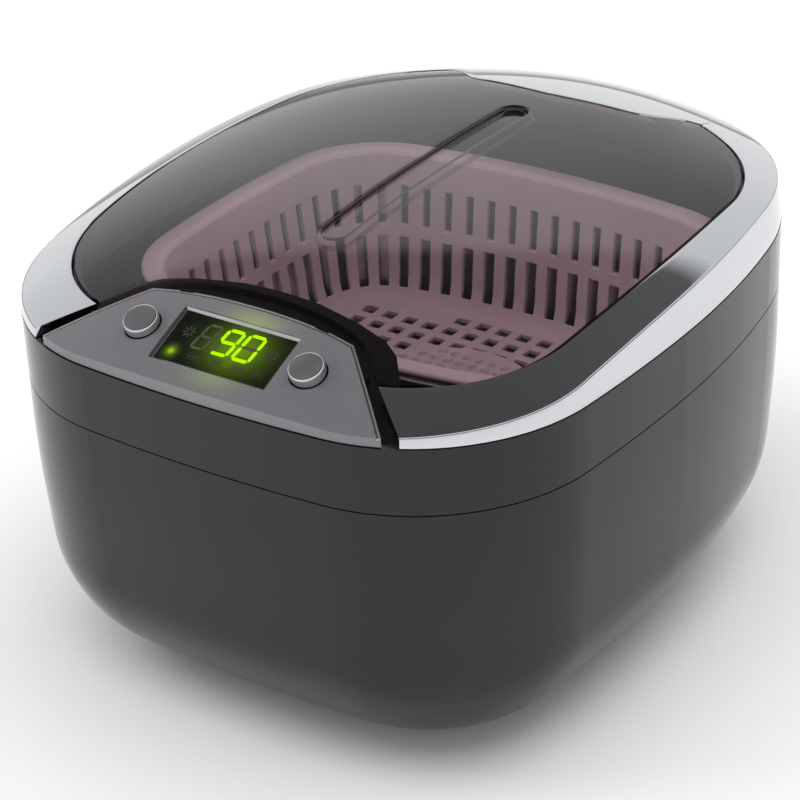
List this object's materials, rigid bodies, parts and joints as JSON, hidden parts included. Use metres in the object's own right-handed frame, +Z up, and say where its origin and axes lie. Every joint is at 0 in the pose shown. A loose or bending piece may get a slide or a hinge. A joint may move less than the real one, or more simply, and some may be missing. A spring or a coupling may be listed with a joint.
{
  "type": "ultrasonic cleaner",
  "caption": "Countertop ultrasonic cleaner with hinged smoked-window lid, slotted lift-out basket, steel tank and tilted front panel with display and push buttons.",
  "frame": {"origin": "centre of the footprint rectangle, on the table under the rubber feet", "axes": "+X to the user's right when facing the control panel, +Y towards the hinge at the back, +Z up; the control panel faces -Y"},
  "size_m": [0.175, 0.209, 0.1264],
  "materials": {
    "black_gloss_plastic": "glossy moulded black",
    "tank_steel": "satin drawn stainless",
    "black_rubber": "matte",
    "aluminium_mass": "machined",
    "steel_fixings": "plated",
    "brass_electrode": "stamped",
    "piezo_ceramic": "fired, dull",
    "circuit_board": "green solder mask",
    "transformer_core": "varnished",
    "black_matte_plastic": "fine matte",
    "capacitor_sleeve": "shrink sleeve",
    "silver_panel": "silver-grey metallic paint",
    "display_window": "black display face, glossy",
    "button_chrome": "plated rim, satin top",
    "trim_chrome": "bright plating",
    "smoked_window": "smoked transparent plastic, glossy",
    "basket_plastic": "light grey moulded plastic"
  },
  "bodies": {
    "housing": {"lower_housing": "black_gloss_plastic", "upper_housing": "black_gloss_plastic", "tank": "tank_steel", "tank_gasket": "black_rubber", "transducer_front_mass": "aluminium_mass", "electrode_rings": "brass_electrode", "piezo_rings": "piezo_ceramic", "transducer_back_mass": "steel_fixings", "transducer_bolt": "steel_fixings", "driver_board": "circuit_board", "board_screws": "steel_fixings", "transformer": "transformer_core", "heat_sink": "aluminium_mass", "power_transistors": "black_matte_plastic", "capacitors": "capacitor_sleeve", "control_panel": "silver_panel", "display_lens": "display_window", "lcd_module": "black_matte_plastic", "display_board": "circuit_board", "display_screws": "steel_fixings", "tact_switches": "black_matte_plastic", "power_inlet": "black_matte_plastic", "inlet_pins": "brass_electrode", "rubber_feet": "black_rubber", "housing_screws": "steel_fixings", "hinge_pins": "steel_fixings"},
    "lid": {"lid_window": "smoked_window", "lid_trim_left": "trim_chrome", "lid_trim_right": "trim_chrome", "hinge_cover": "trim_chrome", "lid_frame": "black_gloss_plastic"},
    "basket": {"basket": "basket_plastic"},
    "on_off_button": {"on_off_button": "button_chrome"},
    "set_button": {"set_button": "button_chrome"}
  },
  "joints": [
    {"name": "lid_hinge", "type": "hinge", "parent": "housing", "child": "lid", "pos_m": [0, 0.0995, 0.1029], "axis": [-1, 0, 0], "range_deg": [0, 78]},
    {"name": "basket_lift", "type": "slide", "parent": "housing", "child": "basket", "axis": [0, 0, 1], "range_m": [0, 0.004]},
    {"name": "on_off_press", "type": "slide", "parent": "housing", "child": "on_off_button", "axis": [0, 0.3888, -0.9213], "range_m": [0, 0.0008], "stiffness_N_per_m": 600},
    {"name": "set_press", "type": "slide", "parent": "housing", "child": "set_button", "axis": [0, 0.3888, -0.9213], "range_m": [0, 0.0008], "stiffness_N_per_m": 600}
  ]
}
